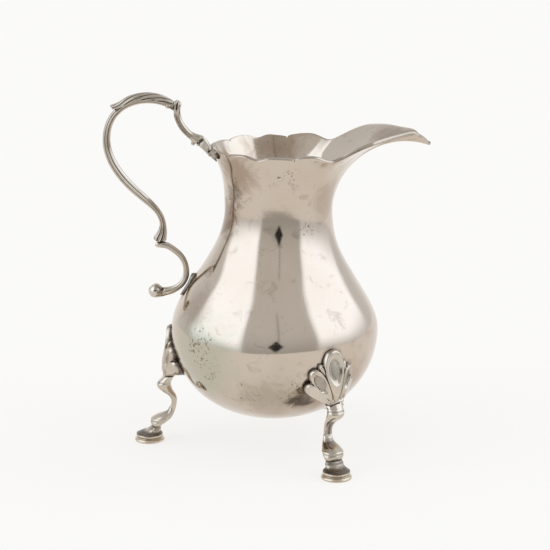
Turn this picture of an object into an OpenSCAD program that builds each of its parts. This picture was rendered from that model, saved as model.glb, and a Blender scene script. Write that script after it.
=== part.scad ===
// Pear-shaped cream jug of the mid-1700s pattern: a raised body with a wavy rim and a
// long open lip, a cast double-scroll handle with a reeded leaf cap, and three cast
// cabriole legs with shell tops and stepped pad feet. Millimetres, +Z up, +X to the lip.
// The origin is on the table, in the middle of the jug's overall length and width.

/* [Body] */
// Widest radius of the belly
belly_r = 29; // [25:0.5:33]
// Height of the widest point above the table
belly_z = 33; // [31:0.5:37]
// Height of the belly's lowest point above the table
belly_clear = 8.6; // [7:0.2:10]
// Radius of the neck
neck_r = 15; // [13:0.25:17]
// Height of the neck's narrowest point
neck_z = 67.5; // [64:0.5:71]
// How far the neck is drawn forward, towards the lip
neck_forward = 1.2; // [0:0.1:2]
// Sheet thickness of the body
wall = 0.8; // [0.6:0.05:1]
// Thickness of the hammered edge at the rim
rim_wall = 1.05; // [0.8:0.05:1.3]

/* [Rim and lip] */
// Reach of the mouth from the body's axis, on the handle's side
mouth_r = 17.5; // [16:0.25:19]
// Half-width of the mouth
mouth_half_w = 18.6; // [17:0.1:20]
// Height of the rim's crests above the table
rim_z = 85.1; // [82:0.1:90]
// Depth of the waves cut into the rim
rim_wave = 1.3; // [0.4:0.1:1.8]
// Reach of the lip's tip from the body's axis
lip_reach = 42.6; // [38:0.2:48]
// Reach of the broad part of the lip, where the beak begins
lip_spread = 39.5; // [35:0.1:40.5]
// Rise of the lip's sides above the rim
lip_rise = 3.6; // [2:0.1:6]
// Drop of the beak from the highest point of the lip to its tip
lip_droop = 3.3; // [2:0.1:5]
// Half-width of the beak
beak_half = 1.8; // [1.5:0.1:2.4]

/* [Handle] */
// Height of the top of the handle above the table
handle_top = 100; // [96:0.5:106]
// Reach of the handle from the body's axis
handle_reach = 47.2; // [43:0.2:52]
// Thickness of the main scroll
scroll_thick = 2.2; // [1.8:0.1:2.8]
// Width of the main scroll
scroll_wide = 3; // [2.4:0.1:3.6]
// Height of the leaf cap above the scroll it covers
leaf_thick = 1.2; // [0.8:0.1:1.6]
// Distance of the handle's upper joint outside the mouth
upper_joint_out = 10; // [8:0.25:12]
// Height of the handle's upper joint above the rim
upper_joint_up = 11; // [9:0.25:13]
// Height of the joint between the main scroll and the lower scroll
lower_joint_z = 58.2; // [55:0.2:61]
// Height at which the lower scroll meets the belly
lower_seat_z = 46; // [43:0.25:48]
// Thickness of the lower scroll
lower_thick = 1.9; // [1.4:0.1:2.2]
// Thickness of the plate that carries the lower scroll
plate_thick = 0.7; // [0.5:0.05:1]

/* [Legs] */
// Angle of the two front legs from the lip
front_leg_angle = 57.5; // [54:0.5:65]
// Sideways lean of the front legs' feet, away from the lip
front_leg_lean = 2.8; // [0:0.1:3]
// Distance of each leg's top joint from the body's axis
leg_joint_r = 29.8; // [29:0.1:31]
// Height of the joint between the shell and the leg
leg_joint_z = 19.4; // [18.5:0.1:20.5]
// Distance of each pad's centre from the leg's top joint
pad_out = 5.8; // [4:0.1:7]
// Radius of a pad foot
pad_r = 4.2; // [3.6:0.1:5]
// Height of a pad foot
pad_h = 2.1; // [1.8:0.1:2.6]
// Height of the shell above its joint
shell_h = 15.2; // [13:0.2:17]
// Stand of the shell in front of the leg's joint
shell_out = 1.7; // [1.4:0.1:2.4]

/* [Hidden] */

silver = [0.74, 0.72, 0.68];
silver_cast = [0.68, 0.66, 0.62];
silver_pad = [0.62, 0.60, 0.57];

// Clearance left for solder between two pieces
solder = 0.06;
// Offset that centres the jug's overall length on the origin
axis_x = (handle_reach - lip_reach) / 2;
// Sides of a half-turn of the body, and its rows
half_steps = 36;
low_rows = 12;
belly_rows = 13;
flare_rows = 10;

// ---------- general helpers ----------

function mix(a, b, t) = a + (b - a) * t;
function clamp01(t) = min(1, max(0, t));
function ease(t) = let (s = clamp01(t)) s * s * (3 - 2 * s);
function bezier(p, t) =
    pow(1 - t, 3) * p[0] + 3 * pow(1 - t, 2) * t * p[1] + 3 * (1 - t) * t * t * p[2] + pow(t, 3) * p[3];
// A point of a chain of curves, with t from 0 to 1 over the whole chain
function chain(curves, t) =
    let (n = len(curves), k = min(n - 1, floor(t * n))) bezier(curves[k], t * n - k);
function chain_way(curves, t) =
    let (a = chain(curves, max(0, t - 0.002)), b = chain(curves, min(1, t + 0.002)))
    (b - a) / norm(b - a);
function unit(v) = v / norm(v);
function middle(ring) = [for (k = [0:2]) sum([for (p = ring) p[k]]) / len(ring)];
function sum(list, k = 0) = k == len(list) - 1 ? list[k] : list[k] + sum(list, k + 1);

// Closed solid through rings of equally many points, with a point at each end
module loft(rings, first = undef, last = undef) {
    n = len(rings[0]);
    m = len(rings);
    start = is_undef(first) ? middle(rings[0]) : first;
    end = is_undef(last) ? middle(rings[m - 1]) : last;
    points = concat([for (ring = rings) each ring], [start, end]);
    area = sum([for (j = [0:n - 1]) cross(rings[0][j] - start, rings[0][(j + 1) % n] - start)]);
    onward = area * (middle(rings[1]) - middle(rings[0])) > 0;
    faces = [
        for (i = [0:m - 2], j = [0:n - 1])
            let (a = i * n + j, b = i * n + (j + 1) % n, c = a + n, d = b + n)
            each [[a, b, d], [a, d, c]],
        for (j = [0:n - 1]) [m * n, (j + 1) % n, j],
        for (j = [0:n - 1]) [m * n + 1, (m - 1) * n + j, (m - 1) * n + (j + 1) % n]
    ];
    polyhedron(points, [for (f = faces) onward ? [f[2], f[1], f[0]] : f], convexity = 8);
}

// Moves a piece from the body's own axis to the jug's frame
module from_axis() {
    translate([axis_x, 0, 0]) children();
}

// ---------- body ----------

// Fullness of the belly's curve below and above its widest point
low_curve = [
    [0, belly_clear], [0.71 * belly_r, belly_clear],
    [belly_r, mix(belly_z, belly_clear, 0.47)], [belly_r, belly_z]
];
high_curve = [
    [belly_r, belly_z], [belly_r, mix(belly_z, neck_z, 0.32)],
    [neck_r, mix(belly_z, neck_z, 0.57)], [neck_r, neck_z]
];
profile_table = concat(
    [for (k = [1:40]) let (p = bezier(low_curve, k / 40)) [p[1], p[0]]],
    [for (k = [1:40]) let (p = bezier(high_curve, k / 40)) [p[1], p[0]]]
);
// Radius of the body at a height below the neck
function body_r(z) = lookup(z, profile_table);
// Forward shift of the body's section at a height
function forward(z) = neck_forward * ease(pow(clamp01((z - belly_z) / (neck_z - belly_z)), 2));

// Half-width of the lip at a distance in front of the axis
function lip_half(x) =
    (mouth_half_w - beak_half) * pow(max(0, 1 - pow(x / lip_spread, 5)), 1.8)
    + beak_half * sqrt(max(0, 1 - pow(x / lip_reach, 20)));
// Plan of the rim for a rim angle of 0 at the lip's tip and 180 at the handle
function rim_plan(b) =
    let (x = cos(b) * (cos(b) > 0 ? lip_reach : mouth_r), side = sin(b) < 0 ? -1 : 1)
    [x, cos(b) > 0 ? side * lip_half(x) : mouth_half_w * sin(b)];
// Reach at which the beak begins to droop
droop_start = lip_spread - 5.5;
// Height of the uncut edge
function edge_z(x) =
    rim_z + lip_rise * ease((x - 12) / 22)
    - lip_droop * pow(clamp01((x - droop_start) / (lip_reach - droop_start)), 4.5);
// Crest shape between two cusps, 0 at a cusp and 1 on a crest
function crest(t) = pow(max(0, sin(180 * clamp01(t))), 0.3);
function dip(t, at) = 0.8 * exp(-pow((t - at) / 0.14, 2));
cusp_front = 85;
cusp_near = 82.5;
cusp_back = 140;
lip_start = 50;
function half_wave(b, cusp) =
    b > cusp_back ? let (t = (b - cusp_back) / (2 * (180 - cusp_back))) crest(t) - dip(t, 0.5)
    : b > cusp ? let (t = (cusp_back - b) / (cusp_back - cusp)) crest(t) - dip(t, 0.6)
    : b > 77 ? crest((cusp - b) / (2 * (cusp - 77)))
    : b > 64 ? 0.07 + 0.93 * cos(180 * (77 - b) / 13)
    : mix(-0.86, 1, ease((64 - b) / (64 - lip_start)));
function wave(b) = half_wave(abs(b), b < 0 ? cusp_near : cusp_front);
// Direction from the neck's centre in which a rim angle's curve starts
function neck_turn(b) =
    let (plan = rim_plan(b), side = b < 0 ? -1 : 1)
    atan2(plan[1], plan[0] - neck_forward) + side * 5 * sin(180 * clamp01(abs(b) / 70));
// How far the edge is drawn out into the lip, 1 at the beak and 0 at the mouth
function lipness(b) = 1 - ease((abs(b) - 22) / 45);
flare_h = 7;
// Curve from the neck up to the uncut rim, for a rim angle
function flare_curve(b) =
    let (
        k = lipness(b), plan = rim_plan(b), top = edge_z(plan[0]),
        turn = neck_turn(b),
        foot = [neck_forward + neck_r * cos(turn), neck_r * sin(turn)],
        shoulder = mix(foot, plan, mix(0.15, 0.45, k)),
        shoulder_z = mix(top - flare_h, 2 * rim_z + 5.2 - top, k)
    )
    [
        [foot[0], foot[1], neck_z], [foot[0], foot[1], neck_z + mix(9, 12, k)],
        [shoulder[0], shoulder[1], shoulder_z], [plan[0], plan[1], top]
    ];
// Point on the outside of the body above the neck, with t from 0 at the neck to 1 at the rim
function flare_point(b, t) =
    bezier(flare_curve(b), t * (1 - rim_wave * (1 - wave(b)) / (3 * flare_h)));
// Point on the outside of the body below the neck
function belly_point(b, p) =
    let (
        spin = mix(b, neck_turn(b), ease((p[1] - belly_z) / (neck_z - belly_z)))
    )
    [forward(p[1]) + p[0] * cos(spin), p[0] * sin(spin), p[1]];

rim_angles = [for (j = [0:2 * half_steps - 1]) -180 + 180 * j / half_steps];
outside = concat(
    [for (i = [1:low_rows]) [for (b = rim_angles) belly_point(b, bezier(low_curve, i / low_rows))]],
    [for (i = [1:belly_rows]) [for (b = rim_angles) belly_point(b, bezier(high_curve, i / belly_rows))]],
    [for (i = [1:flare_rows]) [for (b = rim_angles) flare_point(b, i / flare_rows)]]
);
// Unit normal of the outside at a row and a column
function out_way(i, j) =
    let (
        n = len(rim_angles), m = len(outside),
        along = outside[i][(j + 1) % n] - outside[i][(j + n - 1) % n],
        up = outside[min(m - 1, i + 1)][j] - outside[max(0, i - 1)][j]
    )
    unit(cross(along, up));
function sheet(i) = mix(wall, rim_wall, ease((i - len(outside) + 4) / 3));
inside = [
    for (i = [len(outside) - 1:-1:0])
        [for (j = [0:len(rim_angles) - 1]) outside[i][j] - sheet(i) * out_way(i, j)]
];

module body() {
    from_axis() color(silver)
        loft(concat(outside, inside), [0, 0, belly_clear], [0, 0, belly_clear + wall]);
}

// ---------- handle ----------

// Sweep of a rounded bar along curves in the handle's upright plane. half_in is the
// half-thickness across the bar in that plane and half_y its half-width, both tables of t
function bar_ring(curves, t, half_in, half_y, sides, keel = 0) =
    let (c = chain(curves, t), w = chain_way(curves, t))
    [
        for (k = [0:sides - 1])
            let (
                a = 360 * k / sides, swell = 1 + keel * cos(4 * a),
                u = lookup(t, half_in) * cos(a) * swell, v = lookup(t, half_y) * sin(a) * swell
            )
            [c[0] - u * w[1], v, c[1] + u * w[0]]
    ];
// Keeps a point outside the belly by a clearance
function off_belly(p, gap) =
    let (
        x = p[0] - forward(p[2]), r = norm([x, p[1]]), least = body_r(p[2]) + gap,
        s = max(1, least / r)
    )
    [forward(p[2]) + x * s, p[1] * s, p[2]];

upper_joint = [-(mouth_r + upper_joint_out), rim_z + upper_joint_up];
outer_point = [-(handle_reach - scroll_thick / 2), mix(lower_joint_z, handle_top, 0.68)];
seat_r = body_r(lower_seat_z);
lower_joint = [-(seat_r + 7.5), lower_joint_z];
turn_point = [mix(outer_point[0], lower_joint[0], 0.54), mix(outer_point[1], lower_joint_z, 0.5)];
top_z = handle_top - leaf_thick - scroll_thick / 2;
main_curves = [
    [
        upper_joint + [-0.1, -0.6], [upper_joint[0] - 5.2, top_z + 2.2],
        [outer_point[0], top_z + 1], outer_point
    ],
    [
        outer_point, outer_point - [0, 5.9],
        turn_point + [-3.6, 3.3], turn_point
    ],
    [
        turn_point, turn_point + [4.7, -4.3],
        lower_joint + [2.7, 7], lower_joint - [0.85, 0]
    ]
];
half_t = scroll_thick / 2;
half_w = scroll_wide / 2;
main_half = [
    [0, 0.55 * half_t], [0.08, 0.7 * half_t], [0.25, 0.85 * half_t], [0.4, half_t],
    [0.7, half_t], [0.85, 0.75 * half_t], [0.92, 0.85 * half_t], [1, 1.7 * half_t]
];
main_half_y = [[0, 0.6 * half_w], [0.2, 0.85 * half_w], [0.5, half_w], [0.85, 0.8 * half_w], [1, half_w]];

module handle_main_scroll() {
    rings = [for (k = [0:40]) bar_ring(main_curves, k / 40, main_half, main_half_y, 12, 0.05)];
    from_axis() color(silver_cast)
        loft([
            for (ring = rings)
                [for (p = ring) [min(p[0], upper_joint[0] - solder), p[1], max(p[2], lower_joint_z + solder)]]
        ]);
}

// The leaf cap lies on the outer side of the main scroll, from its upper end past its crest
leaf_from = 0.01;
leaf_to = 0.235;
leaf_reeds = 4;
function leaf_height(s) = leaf_thick * pow(max(0.03, sin(180 * mix(0.18, 0.985, s))), 0.5);
module handle_leaf_cap() {
    steps = 26;
    arc_steps = 10;
    rings = [
        for (i = [0:steps])
            let (
                s = i / steps, t = mix(leaf_from, leaf_to, s),
                c = chain(main_curves, t), w = chain_way(main_curves, t),
                hi = lookup(t, main_half) * 1.05 + solder, hy = lookup(t, main_half_y) * 1.05 + solder,
                curl = 1.2 * pow(max(0, (s - 0.85) / 0.15), 2)
            )
            [
                for (k = [0:2 * arc_steps + 1])
                    let (
                        upper = k <= arc_steps,
                        a = upper ? mix(-80, 80, k / arc_steps) : mix(80, -80, (k - arc_steps - 1) / arc_steps),
                        reed = 0.16 * cos(leaf_reeds * 2.25 * (a + 70 * s)),
                        lift = upper ? leaf_height(s) * (0.45 + 0.55 * cos(a)) * (1 + reed) : 0,
                        u = (hi + lift) * cos(a) + curl, v = (hy + 0.8 * lift) * sin(a)
                    )
                    [min(c[0] - u * -w[1], upper_joint[0] - solder), v, c[1] - u * w[0]]
            ]
    ];
    from_axis() color(silver) loft(rings);
}

// Upper scroll: from its curled top beside the main scroll down to its cut end over the rim
bracket_joint = [-(mouth_r + 3.1), rim_z + 1.7];
// Direction in which the upper scroll runs into the bracket
face_way = unit([4.6, -2]);
upper_curves = [[
    upper_joint + [1.25, 1.7], upper_joint + [-0.3, -2.9],
    bracket_joint - 5 * face_way, bracket_joint
]];
upper_half = [[0, 0.3], [0.04, 0.95], [0.12, 1.1], [0.3, 1], [0.6, 1], [0.85, 1.1], [1, 1.5]];
upper_half_y = [[0, 0.5], [0.04, 1.2], [0.12, 1.4], [0.3, 1.1], [0.6, 1.15], [0.85, 1.5], [1, 1.9]];
module handle_upper_scroll() {
    rings = [for (k = [0:24]) bar_ring(upper_curves, k / 24, upper_half, upper_half_y, 12, 0.06)];
    from_axis() color(silver_cast)
        loft([for (ring = rings) [for (p = ring) [max(p[0], upper_joint[0] + solder), p[1], p[2]]]]);
}

// Rim bracket: a keeled fan soldered round the outside of the rim, which rises to a cut
// face under the upper scroll. Each ring is an upright section at one rim angle. The thin
// section is measured from the rim's edge, the keel's from the mouth and the rim's height
bracket_half_angle = 26;
bracket_face = [-face_way[1], face_way[0]];
bracket_mid = bracket_joint + solder * face_way;
function keel_at(k) = let (p = bracket_mid + k * bracket_face) [-p[0] - mouth_r, p[1] - rim_z];
bracket_thin = [
    [0, 0.1], [0.3, 0.15], [0.5, 0], [0.55, -0.3], [0.55, -0.7], [0.5, -1.1], [0.45, -1.5]
];
bracket_keel = [[0, 0.3], [1.1, 2], keel_at(1.5), keel_at(0.5), keel_at(-1.5), [2.4, -0.7], [1, -2.2]];
module handle_rim_bracket() {
    steps = 24;
    rings = [
        for (i = [0:steps])
            let (
                s = -1 + 2 * i / steps, b = 180 - bracket_half_angle * s,
                keel = exp(-pow(s / 0.19, 2)), low = mix(0.9, 0.8, exp(-pow(s / 0.3, 2))),
                out = [cos(b), sin(b), 0], head = flare_point(b, 1) + solder * out,
                foot = flare_point(b, low) + solder * out,
                half_way = flare_point(b, mix(low, 1, 0.5)) + solder * out
            )
            concat(
                [foot, half_way, head],
                [
                    for (q = [0:len(bracket_keel) - 1])
                        let (thin = bracket_thin[q], thick = bracket_keel[q])
                        mix(
                            head + thin[0] * out + [0, 0, thin[1]],
                            (mouth_r + thick[0]) * out + [0, 0, rim_z + thick[1]], keel
                        )
                ],
                [foot + 0.35 * out]
            )
    ];
    from_axis() color(silver_cast) loft(rings);
}

// Lower scroll: a C that rests on its plate and ends in a round bud
seat_x = -(seat_r + plate_thick + lower_thick / 2);
lower_start = [lower_joint[0] - 1.9, lower_joint_z - 0.5 * lower_thick];
lower_end = [seat_x - 9.6, lower_seat_z - 1.2];
seat_point = [seat_x + 0.9, lower_seat_z + 3.4];
lower_curves = [
    [
        lower_start, lower_start + [5.5, -0.2],
        seat_point + [0.1, 4.4], seat_point
    ],
    [
        seat_point, seat_point - [0.1, 4.2],
        lower_end + [5, -2.6], lower_end
    ]
];
lower_ratio = [
    [0, 0.3], [0.02, 0.8], [0.06, 1], [0.4, 0.85], [0.7, 0.95], [0.84, 1.25], [0.9, 1.8],
    [0.93, 2.15], [0.96, 2.15], [0.985, 1.4], [1, 0.3]
];
lower_half = [for (row = lower_ratio) [row[0], row[1] * lower_thick / 2]];
module handle_lower_scroll() {
    steps = 44;
    rings = [for (k = [0:steps]) bar_ring(lower_curves, k / steps, lower_half, lower_half, 12)];
    from_axis() color(silver_cast)
        loft([
            for (ring = rings)
                [
                    for (p = ring)
                        off_belly([p[0], p[1], min(p[2], lower_joint_z - solder)], plate_thick + 2 * solder)
                ]
        ]);
}

// Plate soldered to the belly, which carries the lower scroll
plate_half_h = 3.1;
plate_half_w = 1.5;
module handle_solder_plate() {
    steps = 10;
    rings = [
        for (i = [0:steps])
            let (
                s = -1 + 2 * i / steps, z = lower_seat_z + plate_half_h * s,
                half = plate_half_w * sqrt(max(0.05, 1 - pow(abs(s), 3))),
                near = body_r(z) + solder, far = body_r(z) + plate_thick * (1 + 0.9 * ease(s))
            )
            [
                for (q = [[near, -1], [near, 0], [near, 1], [mix(near, far, 0.6), 1], [far, 0.7], [far, 0], [far, -0.7], [mix(near, far, 0.6), -1]])
                    [forward(z) - sqrt(q[0] * q[0] - pow(half * q[1], 2)), half * q[1], z]
            ]
    ];
    from_axis() color(silver_cast) loft(rings);
}

// ---------- legs ----------

leg_angles = [180, -front_leg_angle, front_leg_angle];
leg_leans = [0, -front_leg_lean, front_leg_lean];

// Places a shell, whose middle lies on +X
module at_shell(k) {
    from_axis() rotate([0, 0, leg_angles[k]]) children();
}
// Shell: a fan of five lobes. A column runs from the joint to the scalloped edge at one angle
lobe_pitch = 33;
shell_spread = 80;
shell_root_half = 1.9;
function scallop(a) = 0.86 + 0.14 * sqrt(abs(cos(180 * a / lobe_pitch)));
function shell_edge(a) = mix(shell_h, 0.56 * shell_h, abs(a) / 72) * scallop(a);
function groove(a) = pow(1 - abs(cos(180 * a / lobe_pitch)), 3);
function shell_thick(a, v) =
    let (
        root = leg_joint_r + shell_out - body_r(leg_joint_z),
        edge = 1.1 + 0.4 * pow(abs(a) / shell_spread, 2),
        full = mix(edge, root, pow(1 - v, 1.4)),
        cut = 0.5 * groove(a) * ease(v / 0.25) + 0.4 * (1 - groove(a)) * exp(-pow((v - 0.68) / 0.16, 2))
    )
    max(0.35, full - cut - 0.6 * pow(v, 8));
module shell(k) {
    columns = 32;
    rows = [0, 0.12, 0.26, 0.42, 0.56, 0.68, 0.8, 0.91, 1];
    rings = [
        for (j = [0:columns])
            let (
                a = mix(-shell_spread, shell_spread, j / columns),
                start = [shell_root_half * a / shell_spread, leg_joint_z + solder],
                end = [0, leg_joint_z + solder] + shell_edge(a) * [sin(a), cos(a)],
                grid = [
                    for (v = rows)
                        let (
                            p = mix(start, end, v), turn = p[0] / belly_r * 180 / PI,
                            shift = forward(p[1]) * cos(leg_angles[k])
                        )
                        [p[1], turn, body_r(p[1]) + solder + shift, shell_thick(a, v)]
                ]
            )
            concat(
                [for (g = grid) [(g[2] + g[3]) * cos(g[1]), (g[2] + g[3]) * sin(g[1]), g[0]]],
                [
                    for (i = [len(grid) - 1:-1:0])
                        let (
                            g = grid[i], up = 1.1 * pow(1 - rows[i], 2),
                            r = g[2] + body_r(g[0] + up) - body_r(g[0])
                        )
                        [r * cos(g[1]), r * sin(g[1]), g[0] + up]
                ]
            )
    ];
    at_shell(k) color(silver_cast) loft(rings);
}

// Leg: level sections from the joint, out over the rolled knee, in to the waist and out
// again over the toe to the pad. Each station is the share of the leg's height, then the
// section's middle from the joint, half-thickness and half-width
leg_stations = [
    [0, pad_out, pad_r - 0.5, pad_r - 0.5], [0.035, pad_out - 0.5, 2.8, 2.9],
    [0.07, pad_out - 1.3, 1.9, 2.65], [0.11, pad_out - 1.8, 1.35, 2.65],
    [0.16, pad_out - 2.2, 1.8, 2.8], [0.2, pad_out - 2.6, 2.3, 2.95],
    [0.26, pad_out - 3.4, 2.75, 2.9], [0.31, 1.5, 2.4, 2.5], [0.355, 0.2, 1.5, 1.9],
    [0.42, -0.6, 1.1, 1.4], [0.52, -1.1, 0.95, 1.2], [0.6, -1.1, 1.05, 1.3],
    [0.66, -0.6, 1.25, 1.6], [0.72, 0.4, 1.6, 2.1], [0.78, 1.2, 1.95, 2.45],
    [0.83, 1.5, 2.05, 2.5], [0.88, 1.35, 1.95, 2.45], [0.94, 0.6, 1.7, 2.3], [1, -0.2, 1.5, 2.3]
];
module leg(k) {
    sides = 16;
    rings = [
        for (station = leg_stations)
            let (z = mix(pad_h + solder, leg_joint_z, station[0]), lean = leg_leans[k] * pow(1 - station[0], 1.4))
            [
                for (j = [0:sides - 1])
                    let (a = 360 * j / sides)
                    [
                        leg_joint_r + station[1] + station[2] * cos(a),
                        lean + station[3] * sin(a), z
                    ]
            ]
    ];
    at_shell(k) color(silver_cast) loft(rings);
}

// Pad: a stepped disc with a groove round it
module pad(k) {
    at_shell(k) translate([leg_joint_r + pad_out, leg_leans[k], 0]) color(silver_pad)
        rotate_extrude($fn = 48)
            polygon([
                [0, 0], [pad_r - 0.2, 0], [pad_r, 0.25], [pad_r, 0.38 * pad_h], [pad_r - 0.25, 0.52 * pad_h],
                [pad_r - 0.65, 0.56 * pad_h], [pad_r - 0.65, 0.64 * pad_h], [pad_r - 0.45, 0.72 * pad_h],
                [pad_r - 0.45, 0.86 * pad_h], [pad_r - 0.6, pad_h], [0, pad_h]
            ]);
}

module back_leg_shell() { shell(0); }
module back_leg() { leg(0); }
module back_leg_pad() { pad(0); }
module right_leg_shell() { shell(1); }
module right_leg() { leg(1); }
module right_leg_pad() { pad(1); }
module left_leg_shell() { shell(2); }
module left_leg() { leg(2); }
module left_leg_pad() { pad(2); }

body();
handle_rim_bracket();
handle_upper_scroll();
handle_main_scroll();
handle_leaf_cap();
handle_lower_scroll();
handle_solder_plate();
back_leg_shell();
back_leg();
back_leg_pad();
right_leg_shell();
right_leg();
right_leg_pad();
left_leg_shell();
left_leg();
left_leg_pad();
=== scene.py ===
"""Looks of the silver cream jug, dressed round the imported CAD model.

Every piece is made here in mesh code from the same named sizes as the part's source, in
millimetres in the body's own axis, and then put into the part's frame in metres.
"""

import math

import bpy
import numpy as np
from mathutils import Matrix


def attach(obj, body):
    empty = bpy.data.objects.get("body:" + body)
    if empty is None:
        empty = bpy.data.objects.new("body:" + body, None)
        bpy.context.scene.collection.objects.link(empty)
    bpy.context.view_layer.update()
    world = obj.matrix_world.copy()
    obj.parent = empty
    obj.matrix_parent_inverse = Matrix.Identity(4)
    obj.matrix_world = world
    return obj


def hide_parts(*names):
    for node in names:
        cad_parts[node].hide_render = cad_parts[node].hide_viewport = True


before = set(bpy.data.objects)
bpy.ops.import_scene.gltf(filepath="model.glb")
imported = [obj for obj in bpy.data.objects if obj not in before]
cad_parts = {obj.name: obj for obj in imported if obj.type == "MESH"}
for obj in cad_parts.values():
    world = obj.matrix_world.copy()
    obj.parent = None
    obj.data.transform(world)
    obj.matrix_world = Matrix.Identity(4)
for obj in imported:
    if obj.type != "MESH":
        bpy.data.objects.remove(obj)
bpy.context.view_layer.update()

# ---------- camera ----------

MM = 0.001
VIEW_PITCH = 14.19
VIEW_FROM = (2.505 * MM, -521.39 * MM, 180.37 * MM)
VIEW_LENS = 125.80
camera_data = bpy.data.cameras.new("camera")
camera_data.sensor_width = 36
camera_data.lens = VIEW_LENS
camera_data.clip_start = 0.01
camera_data.clip_end = 20
camera = bpy.data.objects.new("camera", camera_data)
camera.location = VIEW_FROM
camera.rotation_euler = (math.radians(90 - VIEW_PITCH), 0, 0)
bpy.context.scene.collection.objects.link(camera)
bpy.context.scene.camera = camera
bpy.context.scene.view_settings.view_transform = "Standard"

# ---------- sizes, as in the part's source ----------

belly_r, belly_z, belly_clear = 29.0, 33.0, 8.6
neck_r, neck_z, neck_forward = 15.0, 67.5, 1.2
wall, rim_wall = 0.8, 1.05
mouth_r, mouth_half_w, rim_z, rim_wave = 17.5, 18.6, 85.1, 1.3
lip_reach, lip_spread, lip_rise, lip_droop, beak_half = 42.6, 39.5, 3.6, 3.3, 1.8
handle_top, handle_reach = 100.0, 47.2
scroll_thick, scroll_wide, leaf_thick = 2.2, 3.0, 1.2
upper_joint_out, upper_joint_up = 10.0, 11.0
lower_joint_z, lower_seat_z, lower_thick, plate_thick = 58.2, 46.0, 1.9, 0.7
front_leg_angle, front_leg_lean = 57.5, 2.8
leg_joint_r, leg_joint_z = 29.8, 19.4
pad_out, pad_r, pad_h = 5.8, 4.2, 2.1
shell_h, shell_out = 15.2, 1.7
solder = 0.06
flare_h = 7.0
# Angles from the lip: the cusps of the rim, its small crest, its deep notch and the lip's start
cusp_front, cusp_near, cusp_back = 85.0, 82.5, 140.0
small_crest, deep_notch, lip_start = 77.0, 64.0, 50.0
notch_level = -0.86
axis_x = (handle_reach - lip_reach) / 2

# ---------- helpers ----------

SMOOTH_ROUNDS = 3


def mix(a, b, t):
    return a + (b - a) * t


def clamp01(t):
    return np.clip(t, 0.0, 1.0)


def ease(t):
    """A smooth step from 0 at t = 0 to 1 at t = 1."""
    s = clamp01(t)
    return s * s * (3 - 2 * s)


def bump_at(t, centre, width):
    """1 at the centre, falling smoothly to 0 beyond the width."""
    return np.exp(-(((t - centre) / width) ** 2))


def cosd(a):
    return np.cos(np.radians(a))


def sind(a):
    return np.sin(np.radians(a))


def bezier(p, t):
    t = np.asarray(t, float)[..., None]
    u = 1 - t
    return u**3 * p[0] + 3 * u * u * t * p[1] + 3 * u * t * t * p[2] + t**3 * p[3]


def chain(curves, t):
    """Points of a chain of curves, with t from 0 to 1 over the whole chain."""
    t = np.asarray(t, float)
    n = len(curves)
    k = np.minimum(n - 1, np.floor(t * n).astype(int))
    p = np.array(curves, float)[k]
    return bezier([p[..., i, :] for i in range(4)], t * n - k)


def chain_way(curves, t):
    a, b = chain(curves, np.maximum(0, t - 0.002)), chain(curves, np.minimum(1, t + 0.002))
    return (b - a) / np.linalg.norm(b - a, axis=-1, keepdims=True)


def table(rows, t):
    rows = np.array(rows, float)
    return np.interp(t, rows[:, 0], rows[:, 1])


def smooth_table(rows, t):
    """Like table, with a smooth curve through the rows."""
    rows = np.array(rows, float)
    x, y = rows[:, 0], rows[:, 1]
    slope = np.gradient(y, x)
    k = np.clip(np.searchsorted(x, t, side="right") - 1, 0, len(x) - 2)
    h = x[k + 1] - x[k]
    s = clamp01((t - x[k]) / h)
    return (
        (2 * s**3 - 3 * s**2 + 1) * y[k]
        + (s**3 - 2 * s**2 + s) * h * slope[k]
        + (3 * s**2 - 2 * s**3) * y[k + 1]
        + (s**3 - s**2) * h * slope[k + 1]
    )


def turned(points, angle):
    """Points turned about the upright axis, in degrees."""
    c, s = cosd(angle), sind(angle)
    x, y, z = points[..., 0], points[..., 1], points[..., 2]
    return np.stack([x * c - y * s, x * s + y * c, z], -1)


def ripple(points, seed, size, waves=7):
    """Smooth irregular waves over space, about -1 to 1, from a few fixed sine waves."""
    rng = np.random.RandomState(seed)
    total = np.zeros(points.shape[:-1])
    for _ in range(waves):
        way = rng.normal(size=3)
        way /= np.linalg.norm(way)
        length = size * rng.uniform(0.7, 1.5)
        start = rng.uniform(0, 2 * np.pi)
        total += np.sin(points @ way * 2 * np.pi / length + start)
    return total / math.sqrt(waves)


def hollow_depth(verts, faces):
    """Depth of each point in millimetres below its smoothed surroundings, negative on a ridge."""
    corners = faces.shape[1]
    edges = np.concatenate([faces[:, [i, (i + 1) % corners]] for i in range(corners)])
    edges = edges[edges[:, 0] != edges[:, 1]]
    count = np.zeros(len(verts))
    np.add.at(count, edges[:, 0], 1)
    np.add.at(count, edges[:, 1], 1)
    count = np.maximum(count, 1)

    def spread(values):
        """Mean of the values at each point's neighbours."""
        out = np.zeros_like(values)
        np.add.at(out, edges[:, 0], values[edges[:, 1]])
        np.add.at(out, edges[:, 1], values[edges[:, 0]])
        return out / (count[:, None] if values.ndim > 1 else count)

    a, b, c = verts[faces[:, 0]], verts[faces[:, 1]], verts[faces[:, 2]]
    normals = np.cross(b - a, c - a)
    way = np.zeros_like(verts)
    for i in range(corners):
        np.add.at(way, faces[:, i], normals)
    way /= np.linalg.norm(way, axis=1, keepdims=True) + 1e-12
    flat = verts
    for _ in range(SMOOTH_ROUNDS):
        flat = mix(flat, spread(flat), 0.7)
    return spread(np.einsum("ij,ij->i", flat - verts, way))


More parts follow.
